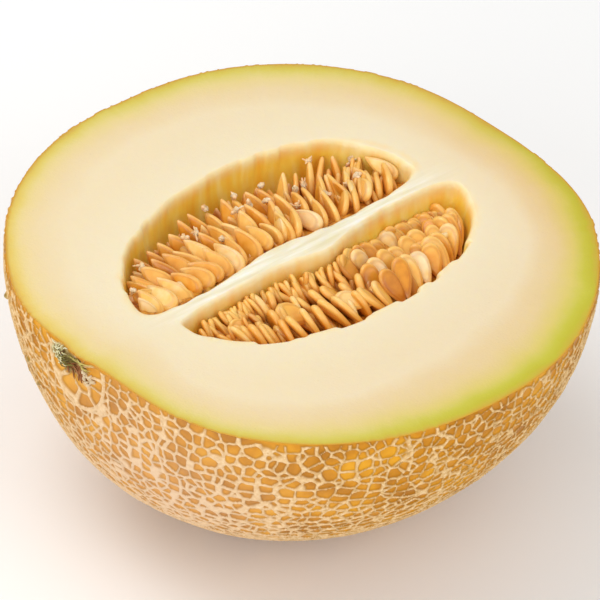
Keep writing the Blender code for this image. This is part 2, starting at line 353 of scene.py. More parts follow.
def add_node(material, kind, sockets, stops=(), **settings):
    """Adds a node to a material, with its settings and the (place, hex) stops of a colour ramp.

    A socket takes a value, or a link from a socket or from a node's first output in use.
    """
    node = material.node_tree.nodes.new("ShaderNode" + kind)
    for label, value in settings.items():
        setattr(node, label, value)
    for label, value in sockets.items():
        if isinstance(value, bpy.types.Node):
            value = next(one for one in value.outputs if one.enabled)
        if isinstance(value, bpy.types.NodeSocket):
            material.node_tree.links.new(value, node.inputs[label])
        else:
            node.inputs[label].default_value = value
    for number, (place, code) in enumerate(stops):
        elements = node.color_ramp.elements
        element = elements[number] if number < len(elements) else elements.new(place)
        element.position, element.color = place, linear(code)
    return node


def new_material(name):
    """An empty material."""
    material = bpy.data.materials.new(name)
    material.use_nodes = True
    material.node_tree.nodes.clear()
    return material


# Rind: waxy golden skin, glossy in the cells and painted olive-dark as shade where it dips beside a
# raised line, under a net of dry, matt, pinkish tan cork, paler on one side. A gap is the distance to
# the net in mm.
# A colour Mix node's sockets are its share, the colour under and the colour over.
SHARE, UNDER, OVER = 0, 6, 7
rind = new_material("waxy_rind_with_cork_net")
place = add_node(rind, "TexCoord", {}).outputs["Object"]
gap, scarred, pallor = (
    add_node(rind, "Attribute", {}, attribute_name=name).outputs["Fac"]
    for name in ("gap", "scar", "pallor")
)
share = add_node(
    rind,
    "MapRange",
    {"Value": gap, "From Min": -0.10, "From Max": 0.10, "To Min": 1.0, "To Max": 0.0},
    interpolation_type="SMOOTHSTEP",
)
# The skin's patches are 10 mm across. Cork's grain and fibres, under 0.1 mm, are drawn at 1.1
# and 1.4 mm so that they show.
patches = add_node(rind, "TexNoise", {"Vector": place, "Scale": 95.0, "Detail": 4.0})
skin = add_node(
    rind, "ValToRGB", {"Fac": patches}, stops=((0.32, "#B67302"), (0.50, "#D68E06"), (0.68, "#ECA81A"))
)
# Painted shade: the skin darkens to olive within 0.3 mm of each cork line, where the raised net shades
# it.
dip_painted_shade = add_node(
    rind, "MapRange", {"Value": gap, "From Min": -0.05, "From Max": 0.32, "To Min": 0.60, "To Max": 0.0}
)
skin_shaded = add_node(
    rind, "Mix", {SHARE: dip_painted_shade, UNDER: skin, OVER: linear("#8E620A")}, data_type="RGBA"
)
grain = add_node(rind, "TexNoise", {"Vector": place, "Scale": 900.0, "Detail": 4.0})
cork = add_node(
    rind, "ValToRGB", {"Fac": grain}, stops=((0.25, "#CCA060"), (0.50, "#EAC388"), (0.75, "#FADEB0"))
)
paled = add_node(rind, "Mix", {SHARE: pallor, UNDER: cork, OVER: linear("#EBCBAA")}, data_type="RGBA")
faded = add_node(rind, "Math", {0: pallor, 1: 0.34}, operation="MULTIPLY")
skin_paled = add_node(
    rind, "Mix", {SHARE: faded, UNDER: skin_shaded, OVER: linear("#F2C292")}, data_type="RGBA"
)
netted = add_node(rind, "Mix", {SHARE: share, UNDER: skin_paled, OVER: paled}, data_type="RGBA")
fibres = add_node(rind, "TexNoise", {"Vector": place, "Scale": 700.0, "Detail": 2.0})
scar_colours = add_node(
    rind,
    "ValToRGB",
    {"Fac": fibres},
    stops=((0.30, "#6B6233"), (0.48, "#A08E58"), (0.60, "#C4B888"), (0.75, "#8A6A48")),
)
rind_colour = add_node(
    rind, "Mix", {SHARE: scarred, UNDER: netted, OVER: scar_colours}, data_type="RGBA"
)
dryness = add_node(rind, "MapRange", {"Value": share, "To Min": 0.40, "To Max": 0.85})
pores = add_node(rind, "Bump", {"Height": grain, "Strength": 0.25, "Distance": 0.0002})
rind_shader = add_node(
    rind,
    "BsdfPrincipled",
    {
        "Base Color": rind_colour,
        "Roughness": dryness,
        "Normal": pores,
        "IOR": 1.45,
        "Specular IOR Level": 0.25,
    },
)
add_node(rind, "OutputMaterial", {"Surface": rind_shader})

# The scar's colours cover the warts and a ragged oval: its middle and half size, aside and down.
SCAR_OVAL = ((-0.0018, 0.0062), (-0.0006, 0.0034))
off_aside, off_down = (
    (from_scar * wave(scar_clock) - middle) / half_size
    for wave, (middle, half_size) in zip((np.sin, np.cos), SCAR_OVAL)
)
scar_oval = np.hypot(off_aside, off_down)
scar_share = 0.85 * smooth_step(-scar_oval + 0.8 * (lumps[:, 0] - 0.5), -1.15, -0.75)
scar_share = np.maximum(scar_share, 0.7 * np.minimum(wart_share, 1))
pale_share = 0.85 * bell(rind_way, *PALE_PATCH)
for quarter in range(4):
    used, quarter_faces = np.unique(rind_faces[rind_quarter == quarter], return_inverse=True)
    rind_piece = new_piece(
        "rind_quarter_{}".format(quarter + 1),
        rind_points[used],
        quarter_faces.reshape(-1, 3),
        {"gap": net_gap[used] * 1000, "scar": scar_share[used], "pallor": pale_share[used]},
        rind,
    )
    rind_piece.data.normals_split_custom_set_from_vertices(rind_shading[used])
    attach(rind_piece, "root")
    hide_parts("melon")

# The stem scar, where the ripe fruit let go of its vine. Dried strands of the stalk, pale green,
# olive and brown, lie on the rind there among crumbs of grey cork, all grown fast to it.
STRAND_STEPS = 9
STRAND_SIDES = 5
STRAND_DRAWS = 71
STRAND_LIFT = 0.25
STRAND_ARCH = (0.1, 0.9)
STRAND_ENDS = 0.35
STRAND_TONE_SPREAD = 0.035
# Count, start aside and down from the scar's middle (mm), heading and bend (degrees from aside
# towards down), length and half thickness (mm), and tone.
STRANDS = (
    (40, (-8.2, -4.4), (-3.2, 0.6), (0, 360), (-60, 60), (1.2, 3.0), 0.17, 0.03),
    (30, (-8.0, -3.0), (-1.6, 1.4), (-32, 10), (-25, 25), (2.5, 6.0), 0.15, 0.36),
    (20, (-3.5, 1.8), (-3.7, -1.8), (-6, 22), (-20, 20), (2.5, 5.0), 0.14, 0.18),
    (38, (-4.2, 1.2), (-1.2, 0.8), (8, 40), (25, 60), (2.6, 5.2), 0.22, 0.66),
    (18, (3.2, 5.8), (-1.2, 2.4), (0, 360), (-30, 30), (0.7, 1.6), 0.38, 0.95),
    (4, (-4.8, -4.2), (-3.0, -2.4), (0, 360), (0, 40), (0.5, 0.8), 0.34, 0.48),
)


def closed_rows_faces(rows, columns, outward):
    """Quads of a grid whose columns close on themselves; outward False turns them round."""
    row, column = np.meshgrid(np.arange(rows - 1), np.arange(columns), indexing="ij")
    here, beside = row * columns + column, row * columns + (column + 1) % columns
    corners = (here, beside, beside + columns, here + columns)
    quads = np.stack(corners if outward else corners[::-1], axis=-1)
    return quads.reshape(-1, 4)


def split_quads(quads):
    """Both triangles of each quad."""
    return np.concatenate((quads[:, [0, 1, 2]], quads[:, [0, 2, 3]]))


def strand_mesh(path, across, girth):
    """Closed tubes along paths, (strands, steps, 3), as points and triangles.

    A ring at each step turns from across, square to the path, through the direction square to
    both, at the distance in girth, (strands, steps, sides, 1). A fan closes each end.
    """
    count, steps, sides = girth.shape[:3]
    ahead = np.gradient(path, axis=1)
    ahead /= np.linalg.norm(ahead, axis=2, keepdims=True)
    across = across - ahead * (across * ahead).sum(axis=2, keepdims=True)
    across /= np.linalg.norm(across, axis=2, keepdims=True)
    other = np.cross(ahead, across)
    clock = 2 * np.pi * np.arange(sides) / sides
    ring = across[:, :, None] * np.cos(clock)[:, None] + other[:, :, None] * np.sin(clock)[:, None]
    tube = (path[:, :, None] + girth * ring).reshape(count, -1, 3)
    points = np.concatenate((tube, path[:, :1], path[:, -1:]), axis=1)
    wall = split_quads(closed_rows_faces(steps, sides, True))
    one, base, tip = np.arange(sides), (steps - 1) * sides, np.full(sides, steps * sides)
    two = (one + 1) % sides
    caps = (np.stack((two, one, tip), axis=1), np.stack((base + one, base + two, tip + 1), axis=1))
    shape = np.concatenate((wall, *caps))
    triangles = shape + (np.arange(count) * points.shape[1])[:, None, None]
    return points.reshape(-1, 3), triangles.reshape(-1, 3)


# Dried stalk: papery, matt strands whose colour goes from pale green to brown and cork grey,
# with flecks of 0.9 mm.
stalk = new_material("dried_stalk_strands")
place = add_node(stalk, "TexCoord", {}).outputs["Object"]
tone = add_node(stalk, "Attribute", {}, attribute_name="tone").outputs["Fac"]
flecks = add_node(stalk, "TexNoise", {"Vector": place, "Scale": 1100.0, "Detail": 2.0})
toned = add_node(stalk, "Math", {0: flecks, 1: 0.16, 2: tone}, operation="MULTIPLY_ADD")
stalk_colour = add_node(
    stalk,
    "ValToRGB",
    {"Fac": toned},
    stops=(
        (0.06, "#E8E4C0"),
        (0.24, "#CDBC66"),
        (0.42, "#80732E"),
        (0.54, "#523C14"),
        (0.70, "#96582A"),
        (0.84, "#BA8656"),
        (1.0, "#E0CAA4"),
    ),
)
stalk_bump = add_node(stalk, "Bump", {"Height": flecks, "Strength": 0.4, "Distance": 0.0002})
stalk_shader = add_node(
    stalk,
    "BsdfPrincipled",
    {"Base Color": stalk_colour, "Roughness": 0.80, "IOR": 1.45, "Normal": stalk_bump},
)
add_node(stalk, "OutputMaterial", {"Surface": stalk_shader})

strand_draws = np.random.default_rng(STRAND_DRAWS)
drawn = []
for number, aside, down, heading, bend, length, thick, tone in STRANDS:
    spans = [strand_draws.uniform(*span, number) for span in (aside, down, heading, bend, length)]
    drawn.append(np.stack((*spans, np.full(number, thick), np.full(number, tone)), axis=1))
aside, down, heading, bend, length, thick, tone = np.concatenate(drawn).T[:, :, None]
step = np.arange(STRAND_STEPS) / (STRAND_STEPS - 1)
bearing = np.radians(heading + bend * step)
aside = aside + length * np.cumsum(np.cos(bearing), axis=1) / STRAND_STEPS
down = down + length * np.cumsum(np.sin(bearing), axis=1) / STRAND_STEPS
lying = scar_way + (scar_aside * aside[..., None] + scar_down * down[..., None]) / 1000 / HALF_LENGTH
lying /= np.linalg.norm(lying, axis=2, keepdims=True)
lift = strand_draws.uniform(*STRAND_ARCH, (len(aside), 1)) * np.sin(np.pi * step)
raised = body_reach(lying) + (STRAND_LIFT + lift) / 1000
path = lying * raised[..., None] + (0, 0, AXIS_HEIGHT)
path[..., 2] = np.minimum(path[..., 2], CUT_HEIGHT - 0.0001)
thinned = thick * (STRAND_ENDS + (1 - STRAND_ENDS) * np.sin(np.pi * step) ** 0.5) / 1000
girth = thinned[..., None, None] * strand_draws.uniform(0.7, 1.3, (*thinned.shape, STRAND_SIDES, 1))
points, triangles = strand_mesh(path, np.cross(lying, np.gradient(path, axis=1)), girth)
tone = tone + strand_draws.normal(0, STRAND_TONE_SPREAD, tone.shape)
scar_piece = new_piece(
    "stem_scar_strands",
    points,
    triangles,
    {"tone": np.repeat(tone, STRAND_STEPS * STRAND_SIDES + 2)},
    stalk,
)
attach(scar_piece, "root")
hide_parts("melon")

# The flesh: crisp when cut and wet with juice. A knife left its face level; the seed hollow in
# it is two pockets with soft lips, on both sides of a pale wall of inner tissue.
POCKET_DEPTH = 0.0300
INNER_POWER = 4.0
# A pocket is a D with its flat side, which bulges, on the pale wall. Its core is the heap's
# depth at that wall and the heap's slope.
POCKETS = {
    "seeds_back": {
        "side": 1,
        "middle_x": -0.0025,
        "middle_y": 0.0090,
        "slant": 0.060,
        "half_length": 0.0505,
        "outer": 0.0283,
        "outer_power": 2.0,
        "inner": 0.0064,
        "inner_slant": 0.025,
        "bulge": 0.0028,
        "bulge_at": -0.0080,
        "bulge_width": 0.0160,
        "core": (0.0026, 0.34),
    },
    "seeds_front": {
        "side": -1,
        "middle_x": 0.0025,
        "middle_y": -0.0060,
        "slant": 0.0,
        "half_length": 0.0485,
        "outer": 0.0253,
        "outer_power": 2.05,
        "inner": 0.0042,
        "inner_slant": 0.035,
        "bulge": 0.0033,
        "bulge_at": 0.0050,
        "bulge_width": 0.0110,
        "core": (0.0120, -0.25),
    },
}
LIP = 0.0014
LIP_DEEPER = 1.8
WALL_COLUMNS = 200
FACE_ROWS = 30
LIP_ROWS = 6
POCKET_ROWS = 20
SCALLOP = {"seeds_back": 0.0005, "seeds_front": 0.0012}
SCALLOP_LENGTH = 0.0040
SEPTUM_WAVE = 0.0006
# How much the walls on the pale wall's side count as shallower for their colour, so they stay cream
# longer before the amber: partly the pale tissue's own colour, partly painted light against the
# trough's shade.
SEPTUM_PALE_AND_PAINTED_LIGHT = {"seeds_back": 0.20, "seeds_front": 0.25}
SEPTUM_SLOPE = {"seeds_back": 0.0, "seeds_front": 0.0022}
SEPTUM_STRAIGHT = 0.046
SEPTUM_END = 0.074
TISSUE_WIDE = (0.0005, 0.0055)
TISSUE_LONG = (0.030, 0.062)
TISSUE_DEEP = 0.0030
END_FILL = {"seeds_back": (0.0028, 0.0012), "seeds_front": (0.0, 0.0)}
END_FILL_FROM = 0.72
# By the turn round the rim: how wide the green layer and its fade are, and how green it is.
BANDS = (
    (0, 0.018, 0.80),
    (20, 0.020, 0.40),
    (45, 0.020, 0.55),
    (90, 0.016, 0.50),
    (139, 0.017, 0.12),
    (165, 0.020, 0.05),
    (182, 0.020, 0.25),
    (200, 0.015, 0.40),
    (225, 0.016, 0.50),
    (260, 0.022, 0.95),
    (292, 0.024, 1.00),
    (319, 0.021, 1.00),
    (340, 0.019, 1.00),
)


def middle_line(pocket, x):
    """Where a pocket's two halves meet: a straight line that slants along the melon."""
    return pocket["middle_y"] + pocket["slant"] * (x - pocket["middle_x"])


def inner_reach(pocket, x):
    """Distance from a pocket's middle line to the pale wall at x: less where the wall bulges."""
    bulge = pocket["bulge"] * np.exp(-(((x - pocket["bulge_at"]) / pocket["bulge_width"]) ** 2))
    return pocket["inner"] + pocket["inner_slant"] * x - bulge


def pocket_point(pocket, u, v, w, inset):
    """Carries points of the unit ball to a pocket, whose walls are moved in by inset.

    u runs along the pocket, v away from the pale wall and w up. Each half of the D is a
    superellipse, and the pocket gets smaller with depth as the ball does.
    """
    power = np.where(v > 0, pocket["outer_power"], INNER_POWER)
    size = (np.abs(u) ** power + np.abs(v) ** power) ** (1 / power)
    stretch = np.hypot(u, v) / np.maximum(size, 1e-9)
    x = pocket["middle_x"] + (pocket["half_length"] - inset) * u * stretch
    reach = np.where(v > 0, pocket["outer"], inner_reach(pocket, x))
    y = middle_line(pocket, x) + pocket["side"] * (reach - inset) * v * stretch
    return np.stack((x, y, CUT_HEIGHT + (POCKET_DEPTH - inset) * w + 0 * x), axis=-1)


# Cut flesh: cream, a little see-through and wet, so light sinks in and small glints sit on top.
# It greens under the rind, which shows as a thin orange line, and turns amber in the hollow.
flesh = new_material("cut_melon_flesh")
place = add_node(flesh, "TexCoord", {}).outputs["Object"]
rindward, skin_gap, green, lipward, tissue = (
    add_node(flesh, "Attribute", {}, attribute_name=name).outputs["Fac"]
    for name in ("rindward", "skin", "green", "lip", "tissue")
)
# Clouds of 13 mm make the bands uneven.
clouds = add_node(flesh, "TexNoise", {"Vector": place, "Scale": 75.0, "Detail": 4.0})
mottle = add_node(flesh, "Math", {0: clouds, 1: 0.26, 2: -0.13}, operation="MULTIPLY_ADD")
banded = add_node(flesh, "Math", {0: rindward, 1: mottle}, operation="ADD")
greens = add_node(
    flesh,
    "ValToRGB",
    {"Fac": banded},
    stops=(
        (0.0, "#CFB238"),
        (0.08, "#C6BE2E"),
        (0.16, "#CAC43E"),
        (0.24, "#D4C85A"),
        (0.34, "#DECB72"),
        (0.46, "#E2CB86"),
        (0.60, "#E6CD98"),
        (0.78, "#E8D0A2"),
        (1.0, "#ECDAB6"),
    ),
)
yellows = add_node(
    flesh,
    "ValToRGB",
    {"Fac": banded},
    stops=(
        (0.0, "#E0B050"),
        (0.08, "#E8C664"),
        (0.16, "#EAD080"),
        (0.24, "#EBD496"),
        (0.34, "#ECD6A2"),
        (0.60, "#ECD8AE"),
        (1.0, "#EEDDB8"),
    ),
)
band = add_node(flesh, "Mix", {SHARE: green, UNDER: yellows, OVER: greens}, data_type="RGBA")
paling = add_node(
    flesh,
    "MapRange",
    {"Value": lipward, "From Min": 1.0, "From Max": 16.0, "To Min": 0.75, "To Max": 0.0},
)
face = add_node(flesh, "Mix", {SHARE: paling, UNDER: band, OVER: linear("#EFE2C2")}, data_type="RGBA")
ends = add_node(flesh, "SeparateXYZ", {0: place})
ripeness = add_node(
    flesh, "MapRange", {"Value": ends, "From Min": 0.048, "From Max": 0.078, "To Max": 0.30}
)
ripened = add_node(
    flesh,
    "Mix",
    {SHARE: ripeness, UNDER: face, OVER: linear("#FAD8A8")},
    data_type="RGBA",
    blend_type="MULTIPLY",
)
# The pale wall's fibres, 1.4 mm wide and 14 mm long: coarser than real ones, so that they show.
fibre_place = add_node(flesh, "Mapping", {"Vector": place, "Scale": (0.10, 1.0, 1.0)})
fibres = add_node(flesh, "TexNoise", {"Vector": fibre_place, "Scale": 700.0, "Detail": 3.0})
fibrous = add_node(
    flesh, "ValToRGB", {"Fac": fibres}, stops=((0.32, "#E4DAB4"), (0.52, "#EFE9D2"), (0.70, "#F9F6EA"))
)
tissued = add_node(flesh, "Mix", {SHARE: tissue, UNDER: ripened, OVER: fibrous}, data_type="RGBA")
skin_line = add_node(
    flesh,
    "MapRange",
    {"Value": skin_gap, "From Min": 0.15, "From Max": 0.8, "To Min": 0.8, "To Max": 0.0},
)
edged = add_node(
    flesh, "Mix", {SHARE: skin_line, UNDER: tissued, OVER: linear("#E2A024")}, data_type="RGBA"
)
# Streaks down the hollow, 4 mm wide, where the flesh grew round the seeds.
streak_place = add_node(flesh, "Mapping", {"Vector": place, "Scale": (1.0, 1.0, 0.12)})
streaks = add_node(flesh, "TexNoise", {"Vector": streak_place, "Scale": 240.0, "Detail": 2.0})
amber = add_node(
    flesh, "ValToRGB", {"Fac": streaks}, stops=((0.30, "#FFC03A"), (0.52, "#FFD252"), (0.74, "#FFDF7E"))
)
inward = add_node(flesh, "Math", {0: streaks, 1: 2.4, 2: lipward}, operation="MULTIPLY_ADD")
in_hollow = add_node(
    flesh,
    "MapRange",
    {"Value": inward, "From Min": 3.4, "From Max": -3.6},
    interpolation_type="SMOOTHSTEP",
)
flesh_colour = add_node(flesh, "Mix", {SHARE: in_hollow, UNDER: edged, OVER: amber}, data_type="RGBA")
# Ripples of 2.4 mm from the knife, and cells: real ones are 0.2 mm, and 0.7 mm shows.
ripples = add_node(flesh, "TexNoise", {"Vector": place, "Scale": 420.0, "Detail": 4.0})
cells = add_node(flesh, "TexVoronoi", {"Vector": place, "Scale": 1500.0})
grainy = add_node(flesh, "Math", {0: cells, 1: 0.35, 2: ripples}, operation="MULTIPLY_ADD")
wet_bump = add_node(flesh, "Bump", {"Height": grainy, "Strength": 0.22, "Distance": 0.0004})
# Low beads of juice, 3.3 mm apart.
bead_cells = add_node(flesh, "TexVoronoi", {"Vector": place, "Scale": 300.0})
beads = add_node(
    flesh,
    "MapRange",
    {"Value": bead_cells, "From Min": 0.04, "From Max": 0.15, "To Min": 1.0, "To Max": 0.0},
)
some_beads = add_node(flesh, "Math", {0: beads, 1: clouds}, operation="MULTIPLY")
beaded_bump = add_node(
    flesh, "Bump", {"Height": some_beads, "Strength": 0.16, "Distance": 0.0005, "Normal": wet_bump}
)
gloss = add_node(
    flesh,
    "MapRange",
    {"Value": ripples, "From Min": 0.3, "From Max": 0.7, "To Min": 0.30, "To Max": 0.48},
)
flesh_shader = add_node(
    flesh,
    "BsdfPrincipled",
    {
        "Base Color": flesh_colour,
        "Roughness": gloss,
        "Normal": beaded_bump,
        "IOR": 1.36,
        "Subsurface Weight": 0.65,
        "Subsurface Radius": (1.0, 0.85, 0.42),
        "Subsurface Scale": 0.0045,
        "Coat Weight": 0.15,
        "Coat Roughness": 0.20,
    },
)
add_node(flesh, "OutputMaterial", {"Surface": flesh_shader})

# Each side of the face runs from half of the rim and the pale wall's middle line to its pocket.
half = RIND_COLUMNS // 2
round_outer = np.pi * np.arange(half) / half
round_inner = np.pi + np.pi * np.arange(WALL_COLUMNS) / WALL_COLUMNS
round_pocket = np.concatenate((round_outer, round_inner))
rim = rind_points[:RIND_COLUMNS]
wall_x = rim[half, 0] + (rim[0, 0] - rim[half, 0]) * (1 - np.cos(round_inner - np.pi)) / 2
wall_ends = np.interp(wall_x, (rim[half, 0], rim[0, 0]), (rim[half, 1], rim[0, 1]))
wall_middle = sum(
    middle_line(pocket, wall_x) - pocket["side"] * inner_reach(pocket, wall_x)
    for pocket in POCKETS.values()
) / 2
wall_fade = smooth_step(-np.abs(wall_x), -SEPTUM_END, -SEPTUM_STRAIGHT)
wall_line = np.stack(
    (wall_x, wall_ends + (wall_middle - wall_ends) * wall_fade, np.full(WALL_COLUMNS, CUT_HEIGHT)),
    axis=1,
)
u, v = np.cos(round_pocket), np.sin(round_pocket)
lips = np.concatenate([pocket_point(each, u, v, 0.0, 0.0)[::3, :2] for each in POCKETS.values()])
made_points, made_faces, made_lips = [], [], []
for name, pocket in POCKETS.items():
    side = pocket["side"]
    outside = np.concatenate((rim[(side * np.arange(half)) % RIND_COLUMNS], wall_line))
    at_lip = pocket_point(pocket, u, v, 0.0, 0.0)
    waves = soft_noise(at_lip * (1, 1, 0), SCALLOP_LENGTH, 21)
    bites = SCALLOP[name] * smooth_step(waves[:, 0], 0.30, 0.70) * smooth_step(v, -0.1, 0.3)
    bites += SEPTUM_WAVE * (waves[:, 1] - 0.5) * smooth_step(-v, -0.1, 0.5)
    right_fill, left_fill = END_FILL[name]
    ends_in = right_fill * smooth_step(u, END_FILL_FROM, 1.0)
    ends_in = ends_in + left_fill * smooth_step(-u, END_FILL_FROM, 1.0)
    bites += ends_in
    # The level face, then the lip's quarter round, then the pocket's wall to its lowest point.
    lip_start = pocket_point(pocket, u, v, 0.0, bites - LIP)
    shares = (1 - np.cos(np.linspace(0, np.pi, FACE_ROWS))) / 2
    face_rows = outside + (lip_start - outside) * shares[:, None, None]
    bend = np.linspace(0, np.pi / 2, LIP_ROWS + 1)[1:, None]
    lip_rows = pocket_point(pocket, u, v, 0.0, bites - LIP + LIP * np.sin(bend))
    lip_rows[..., 2] = CUT_HEIGHT - LIP_DEEPER * LIP * (1 - np.cos(bend))
    start = np.arcsin(LIP_DEEPER * LIP / POCKET_DEPTH)
    steep = start + (np.pi / 2 - start) * np.linspace(0, 1, POCKET_ROWS + 1)[1:-1, None]
    fading = ends_in + (bites - ends_in) * smooth_step(-np.sin(steep), -0.33, -0.05)
    fading += SEPTUM_SLOPE[name] * smooth_step(-v, 0.0, 0.5) * smooth_step(np.sin(steep), 0.10, 0.32)
    wall_rows = pocket_point(pocket, u * np.cos(steep), v * np.cos(steep), -np.sin(steep), fading)
    rows = np.concatenate((face_rows, lip_rows, wall_rows))
    columns = len(round_pocket)
    grid = closed_rows_faces(len(rows), columns, side > 0)
    low = np.array([pocket_point(pocket, np.float64(0), np.float64(0), np.float64(-1), 0.0)])
    last_row = (len(rows) - 1) * columns + np.arange(columns)
    next_column = np.roll(last_row, -1)
    bottom = np.full(columns, len(rows) * columns)
    fan = np.stack((last_row, next_column, bottom) if side > 0 else (next_column, last_row, bottom), 1)
    triangles = np.concatenate((split_quads(grid), fan))
    made_faces.append(triangles + sum(len(made) for made in made_points))
    made_points.append(np.concatenate((rows.reshape(-1, 3), low)))
    # How far each point is from the lip: out on the face, or down the wall, where it is negative.
    face_spots = face_rows.reshape(-1, 3)[:, None, :2].astype(np.float32)
    face_gap = np.sqrt(((face_spots - lips.astype(np.float32)) ** 2).sum(axis=2).min(axis=1))
    wall_depth = rows[FACE_ROWS:, :, 2] - CUT_HEIGHT
    # On the pale wall's side the depth counts for less, which keeps the wall cream longer: partly its
    # own pale tissue, partly painted light in the shaded trough.
    wall_depth = wall_depth * (1 - SEPTUM_PALE_AND_PAINTED_LIGHT[name] * smooth_step(-v, 0.0, 0.5))
    made_lips.append(np.concatenate((face_gap.ravel(), wall_depth.ravel(), [-POCKET_DEPTH])))

# The two sides share their points on the rim's ends and along the pale wall, so they are one.
made_points = np.concatenate(made_points)
_, first, home = np.unique(np.round(made_points, 7), axis=0, return_index=True, return_inverse=True)
points = made_points[first]
turn = np.degrees(np.arctan2(points[:, 1], points[:, 0]))
rim_turn = np.degrees(np.arctan2(rim[:, 1], rim[:, 0]))
rim_radius = np.interp(turn, rim_turn, np.hypot(rim[:, 0], rim[:, 1]), period=360)
to_skin = rim_radius - np.hypot(points[:, 0], points[:, 1])
from_wall = np.abs(points[:, 1] - np.interp(points[:, 0], wall_line[:, 0], wall_line[:, 1]))
pale = smooth_step(-from_wall, -TISSUE_WIDE[1], -TISSUE_WIDE[0])
pale *= smooth_step(-np.abs(points[:, 0]), -TISSUE_LONG[1], -TISSUE_LONG[0])
pale *= smooth_step(points[:, 2] - CUT_HEIGHT, -TISSUE_DEEP, 0.0)
band_turns, band_widths, band_greens = np.transpose(BANDS)
flesh_piece = new_piece(
    "melon_flesh",
    points,
    home.reshape(-1)[np.concatenate(made_faces)],
    {
        "rindward": to_skin / np.interp(turn, band_turns, band_widths, period=360),
        "skin": to_skin * 1000,
        "green": np.interp(turn, band_turns, band_greens, period=360),
        "lip": np.concatenate(made_lips)[first] * 1000,
        "tissue": pale * 0.9,
    },
    flesh,
)
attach(flesh_piece, "root")
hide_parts("melon")

# What the seeds are bedded in: soft wet pulp, a dark amber brown all over that is partly its own colour
# and partly painted shade of the gaps between the seeds. It fills each pocket up to a slope that the
# seeds that show are half sunk in.
PULP_GAP = 0.0002
PULP_SUNK = 0.0012
PULP_RINGS = 40
PULP_ROUND = 160
PULP_DEEP = 8
PULP_LUMP = 0.0022
PULP_LUMP_HEIGHT = 0.0016

# Pulp: soft, wet and half see-through, in amber strands 2.6 mm apart that glint on top.
pulp = new_material("wet_seed_pulp_and_gap_shade")
place = add_node(pulp, "TexCoord", {}).outputs["Object"]
strands = add_node(
    pulp, "TexNoise", {"Vector": place, "Scale": 380.0, "Detail": 4.0, "Distortion": 1.2}
)
# The darker browns are partly the pulp's own amber and partly painted shade of the deep gaps between
# seeds.
pulp_and_gap_shade_colour = add_node(
    pulp, "ValToRGB", {"Fac": strands}, stops=((0.30, "#A05614"), (0.50, "#CC8424"), (0.72, "#E8AC4C"))
)
pulp_bump = add_node(pulp, "Bump", {"Height": strands, "Strength": 0.6, "Distance": 0.0006})
pulp_shader = add_node(
    pulp,
    "BsdfPrincipled",
    {
        "Base Color": pulp_and_gap_shade_colour,
        "Roughness": 0.30,
        "IOR": 1.36,
        "Normal": pulp_bump,
        "Subsurface Weight": 0.25,
        "Subsurface Radius": (1.0, 0.5, 0.2),
        "Subsurface Scale": 0.0015,
    },
)
add_node(pulp, "OutputMaterial", {"Surface": pulp_shader})

for name, pocket in POCKETS.items():
    depth, slope = pocket["core"]
    side = pocket["side"]
    wall_y = middle_line(pocket, 0) - side * inner_reach(pocket, 0)
    round_pulp = 2 * np.pi * np.arange(PULP_ROUND) / PULP_ROUND
    u, v = np.cos(round_pulp), np.sin(round_pulp)
    reach = np.ones(PULP_ROUND)
    for _ in range(12):
        edge = pocket_point(pocket, u * reach, v * reach, 0.0, PULP_GAP)
        sunk = depth + PULP_SUNK + slope * side * (edge[:, 1] - wall_y)
        reach = np.sqrt(1 - (np.clip(sunk, 0.001, 0.029) / (POCKET_DEPTH - PULP_GAP)) ** 2)
    rings = np.linspace(1, 0.02, PULP_RINGS)[:, None]
    top = pocket_point(pocket, u * reach * rings, v * reach * rings, 0.0, PULP_GAP)
    top[..., 2] = CUT_HEIGHT - depth - PULP_SUNK - slope * side * (top[..., 1] - wall_y)
    lumps_here = soft_noise(top.reshape(-1, 3), PULP_LUMP, 31)[:, 0].reshape(top.shape[:2])
    top[..., 2] += PULP_LUMP_HEIGHT * (lumps_here - 0.5) * smooth_step(-rings, -1.0, -0.93)
    edge_angle = np.arccos(reach)
    deep = edge_angle + (np.pi / 2 - edge_angle) * np.linspace(0, 0.98, PULP_DEEP)[1:, None]
    under = pocket_point(pocket, u * np.cos(deep), v * np.cos(deep), -np.sin(deep), PULP_GAP)
    rows = np.concatenate((under[::-1], top))
    ends = np.stack((rows[-1].mean(axis=0), rows[0].mean(axis=0)))
    grid = closed_rows_faces(len(rows), PULP_ROUND, side > 0)
    first = np.arange(PULP_ROUND)
    following = (first + 1) % PULP_ROUND
    start_last = (len(rows) - 1) * PULP_ROUND
    centre = np.full(PULP_ROUND, len(rows) * PULP_ROUND)
    caps = [(start_last + first, start_last + following, centre), (following, first, centre + 1)]
    if side < 0:
        caps = [(second, one, three) for one, second, three in caps]
    fans = np.concatenate([np.stack(cap, axis=1) for cap in caps])
    triangles = np.concatenate((split_quads(grid), fans))
    pulp_piece = new_piece(
        "pulp_" + name.split("_")[1], np.concatenate((rows.reshape(-1, 3), ends)), triangles, {}, pulp
    )
    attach(pulp_piece, "root")
    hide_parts(name)

# The seeds: flat teardrops with a raised rim, in rows whose round ends face the pale wall. They
# hold by their tips in the pulp. Every seed is the same shape, turned and shaded on its own.
SEED_LENGTH = 0.0130
SEED_WIDTH = 0.0058
SEED_THICKNESS = 0.0024
SEED_TAPER = 0.45
